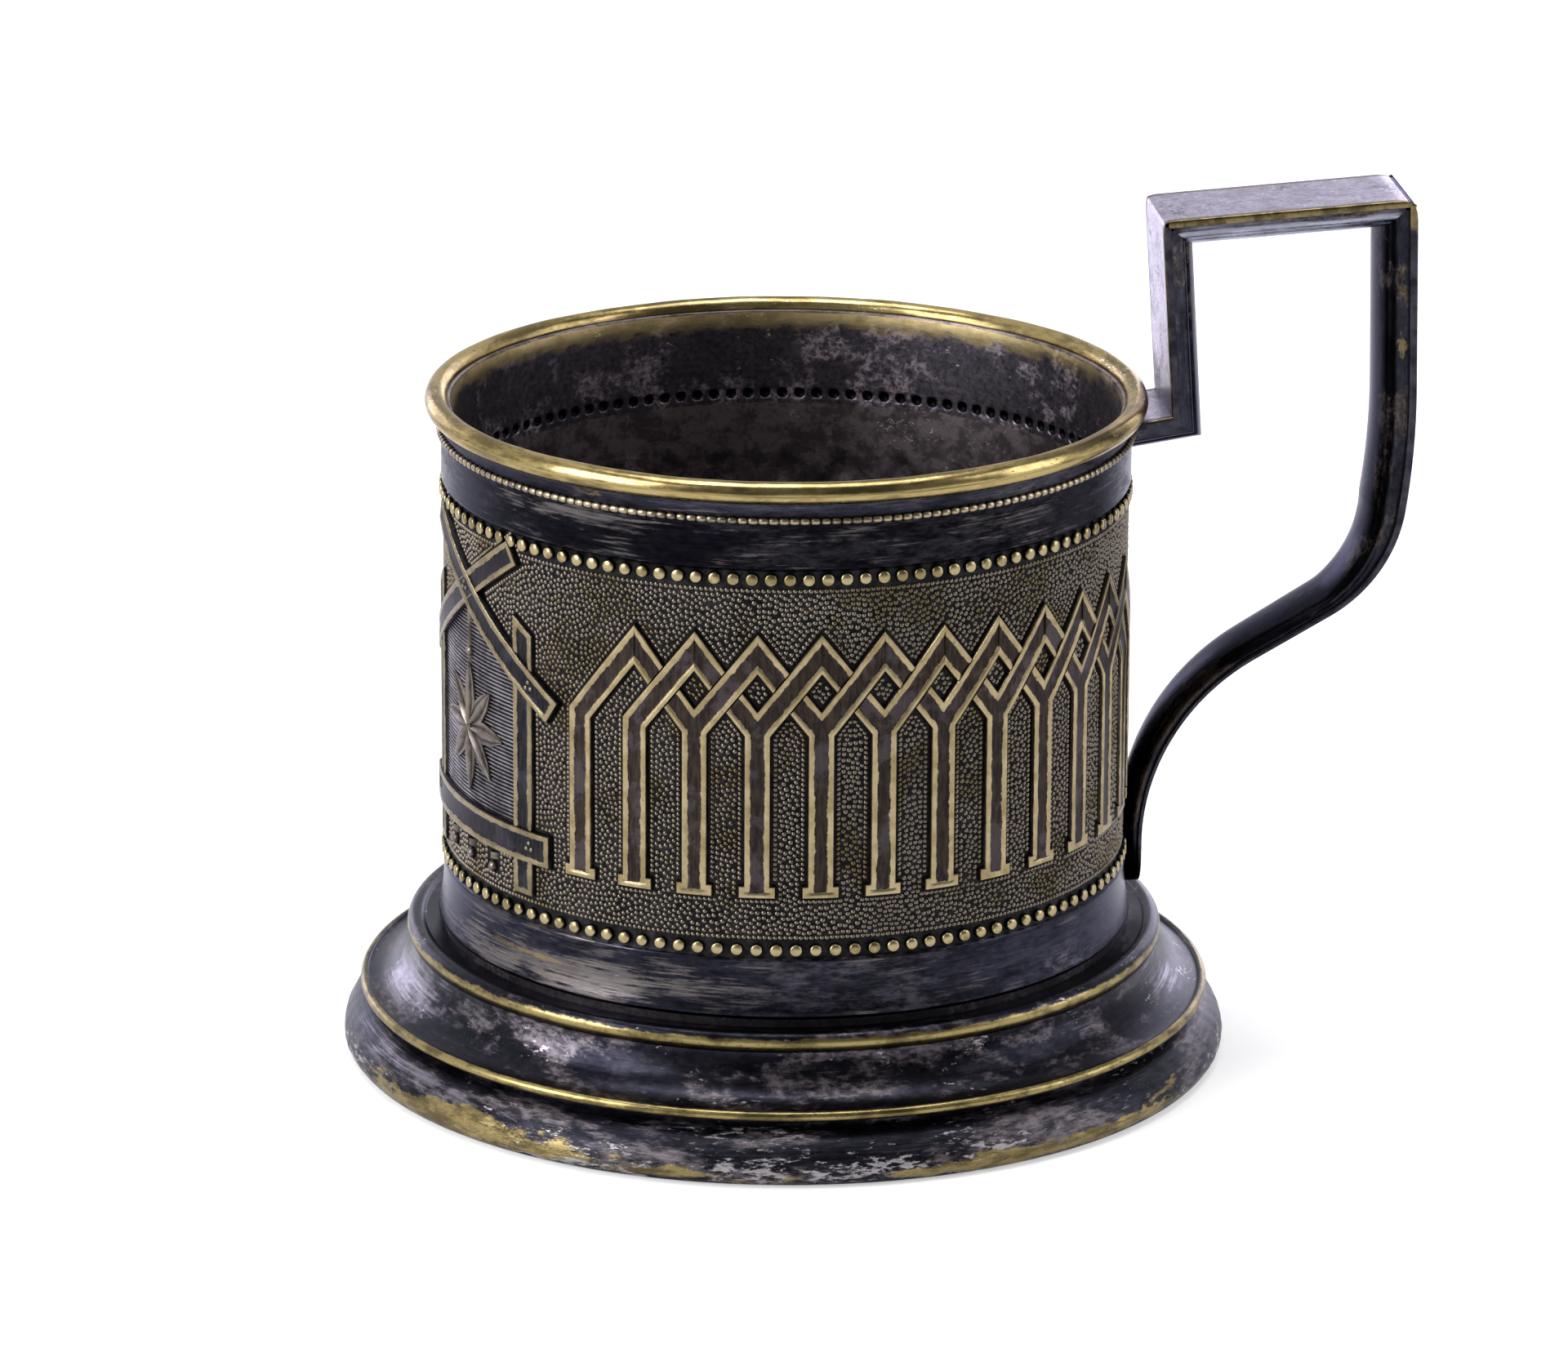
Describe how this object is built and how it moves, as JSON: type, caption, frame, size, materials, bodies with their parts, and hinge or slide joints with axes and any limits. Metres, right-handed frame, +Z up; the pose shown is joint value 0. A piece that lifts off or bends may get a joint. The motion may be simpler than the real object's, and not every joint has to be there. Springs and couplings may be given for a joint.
{
  "type": "podstakannik tea glass holder",
  "caption": "Metal tea glass holder: a round sleeve with a beaded rim and relief frieze, a spun foot with a heavy base ring, and a squared handle of moulded bar.",
  "frame": {"origin": "centre of the base ring's lower face, on the surface that the holder stands on", "axes": "+Z up along the glass's axis, +X from the axis towards the handle, +Y completes a right-handed frame"},
  "size_m": [0.1134, 0.0944, 0.0922],
  "materials": {
    "blackened_sleeve": "plated and blackened in the hollows, worn to yellow metal on the raised work",
    "worn_rim": "plating worn through to bright yellow metal",
    "beaded_brass": "bright crowns over dark roots",
    "spun_foot": "tarnished plating, mottled with dark and pale patches",
    "heavy_ring": "tarnished plating with pitted pale deposits and worn edges",
    "seat_disc": "dull and dark",
    "bright_strap": "satin plating, scratched, yellow along worn edges",
    "dark_moulding": "tarnished plating with bright worn lines"
  },
  "bodies": {
    "root": {"sleeve": "blackened_sleeve", "rim_ring": "worn_rim", "beaded_wire": "beaded_brass", "foot_skirt": "spun_foot", "base_ring": "heavy_ring", "glass_seat": "seat_disc", "handle_strap": "bright_strap", "handle_moulding": "dark_moulding"}
  },
  "joints": []
}
